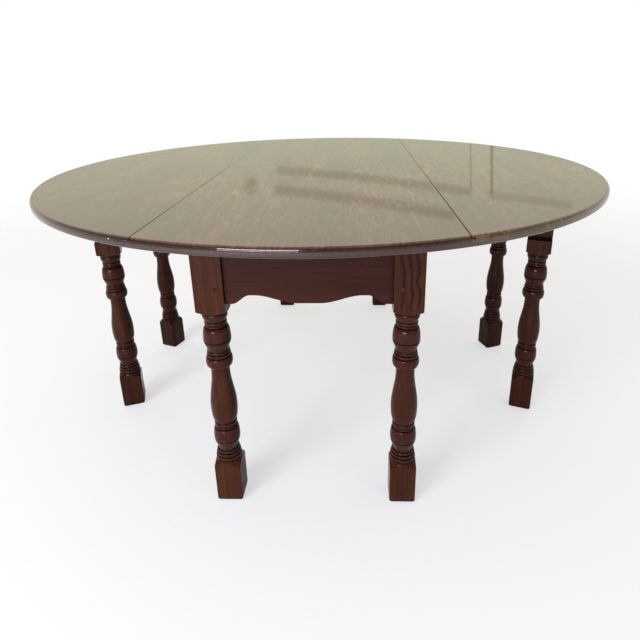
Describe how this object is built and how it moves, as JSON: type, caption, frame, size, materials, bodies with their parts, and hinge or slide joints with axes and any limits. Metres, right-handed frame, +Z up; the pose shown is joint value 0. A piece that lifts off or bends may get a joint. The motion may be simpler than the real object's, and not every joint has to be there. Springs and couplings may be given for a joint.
{
  "type": "gateleg table",
  "caption": "Round gateleg dining table: a centre board on a turned-leg frame, drop leaves on rule joints and swinging gate legs on wooden knuckle joints.",
  "frame": {"origin": "on the floor under the middle of the table", "axes": "+Z up, Y along the two rule joints, X across the leaves; left is -X and front is -Y"},
  "size_m": [1.652, 1.652, 0.76],
  "materials": {
    "top_oak": "dark stained oak, polished to a deep gloss, lightly worn at the rim",
    "leg_oak": "dark red-brown stained turned oak, satin polish",
    "rail_oak": "dark red-brown stained oak, satin",
    "block_oak": "plain oak blocks, thin stain",
    "peg_oak": "dark end grain pegs",
    "hinge_brass": "aged brass",
    "brass_screws": "aged brass",
    "steel": "dull steel"
  },
  "bodies": {
    "frame": {"centre_board": "top_oak", "leg_front_left": "leg_oak", "leg_front_right": "leg_oak", "leg_rear_left": "leg_oak", "leg_rear_right": "leg_oak", "end_apron_front": "rail_oak", "end_apron_rear": "rail_oak", "side_rail_left": "rail_oak", "side_rail_right": "rail_oak", "cross_rail": "rail_oak", "frame_pegs": "peg_oak", "top_buttons": "block_oak", "button_screws": "steel", "knuckle_block_left": "rail_oak", "knuckle_block_right": "rail_oak", "knuckle_block_screws": "steel", "knuckle_pin_front_left": "steel", "knuckle_pin_front_right": "steel", "knuckle_pin_rear_left": "steel", "knuckle_pin_rear_right": "steel", "centre_flap_front_left": "hinge_brass", "centre_flap_middle_left": "hinge_brass", "centre_flap_rear_left": "hinge_brass", "centre_flap_front_right": "hinge_brass", "centre_flap_middle_right": "hinge_brass", "centre_flap_rear_right": "hinge_brass", "hinge_pin_front_left": "steel", "hinge_pin_middle_left": "steel", "hinge_pin_rear_left": "steel", "hinge_pin_front_right": "steel", "hinge_pin_middle_right": "steel", "hinge_pin_rear_right": "steel", "centre_flap_screws": "brass_screws"},
    "left_leaf": {"left_leaf": "top_oak", "leaf_flap_front_left": "hinge_brass", "leaf_flap_middle_left": "hinge_brass", "leaf_flap_rear_left": "hinge_brass", "left_leaf_flap_screws": "brass_screws", "left_leaf_stops": "block_oak"},
    "right_leaf": {"right_leaf": "top_oak", "leaf_flap_front_right": "hinge_brass", "leaf_flap_middle_right": "hinge_brass", "leaf_flap_rear_right": "hinge_brass", "right_leaf_flap_screws": "brass_screws", "right_leaf_stops": "block_oak"},
    "gate_front_left": {"gate_leg_front_left": "leg_oak", "fly_rail_front_left": "rail_oak", "gate_pegs_front_left": "peg_oak"},
    "gate_front_right": {"gate_leg_front_right": "leg_oak", "fly_rail_front_right": "rail_oak", "gate_pegs_front_right": "peg_oak"},
    "gate_rear_left": {"gate_leg_rear_left": "leg_oak", "fly_rail_rear_left": "rail_oak", "gate_pegs_rear_left": "peg_oak"},
    "gate_rear_right": {"gate_leg_rear_right": "leg_oak", "fly_rail_rear_right": "rail_oak", "gate_pegs_rear_right": "peg_oak"}
  },
  "joints": [
    {"name": "left_leaf_hinge", "type": "hinge", "parent": "frame", "child": "left_leaf", "pos_m": [-0.3085, 0, 0.742], "axis": [0, 1, 0], "range_deg": [0, 2.5]},
    {"name": "right_leaf_hinge", "type": "hinge", "parent": "frame", "child": "right_leaf", "pos_m": [0.3085, 0, 0.742], "axis": [0, -1, 0], "range_deg": [0, 2.5]},
    {"name": "gate_front_left_swing", "type": "hinge", "parent": "frame", "child": "gate_front_left", "pos_m": [-0.2235, -0.038, 0.6675], "axis": [0, 0, -1], "range_deg": [-70, 0]},
    {"name": "gate_front_right_swing", "type": "hinge", "parent": "frame", "child": "gate_front_right", "pos_m": [0.2235, -0.038, 0.6675], "axis": [0, 0, 1], "range_deg": [-70, 0]},
    {"name": "gate_rear_left_swing", "type": "hinge", "parent": "frame", "child": "gate_rear_left", "pos_m": [-0.2235, 0.038, 0.6675], "axis": [0, 0, 1], "range_deg": [-70, 0]},
    {"name": "gate_rear_right_swing", "type": "hinge", "parent": "frame", "child": "gate_rear_right", "pos_m": [0.2235, 0.038, 0.6675], "axis": [0, 0, -1], "range_deg": [-70, 0]}
  ]
}
